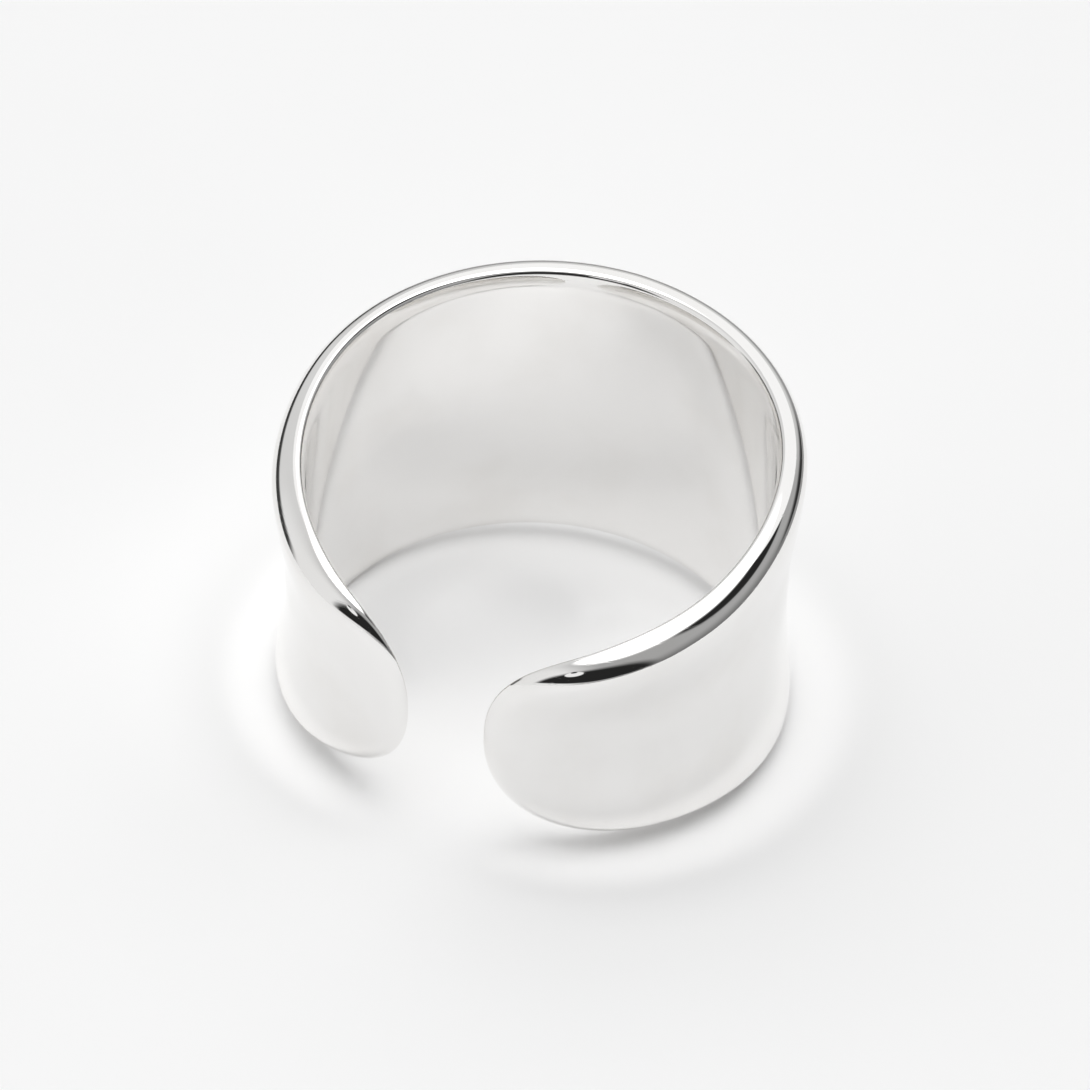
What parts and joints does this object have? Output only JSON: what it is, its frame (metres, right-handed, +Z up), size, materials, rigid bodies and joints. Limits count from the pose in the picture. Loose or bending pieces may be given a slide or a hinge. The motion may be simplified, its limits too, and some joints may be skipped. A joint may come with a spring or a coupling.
{
  "type": "open cuff ring",
  "caption": "Wide open cuff finger ring in polished silver, with flared rims, a curved-in waist and rounded lobes facing each other over a gap.",
  "frame": {"origin": "centre of the finger opening, halfway up the band", "axes": "+Z up from the surface the ring lies on, -Y toward the gap between the lobes, +X to the right seen from the gap. The finger opening leans 8.15 degrees from +Z toward -Y, as the ring leans by itself"},
  "size_m": [0.0196, 0.0195, 0.0144],
  "materials": {
    "silver": "high polish"
  },
  "bodies": {
    "root": {"band": "silver"}
  },
  "joints": []
}
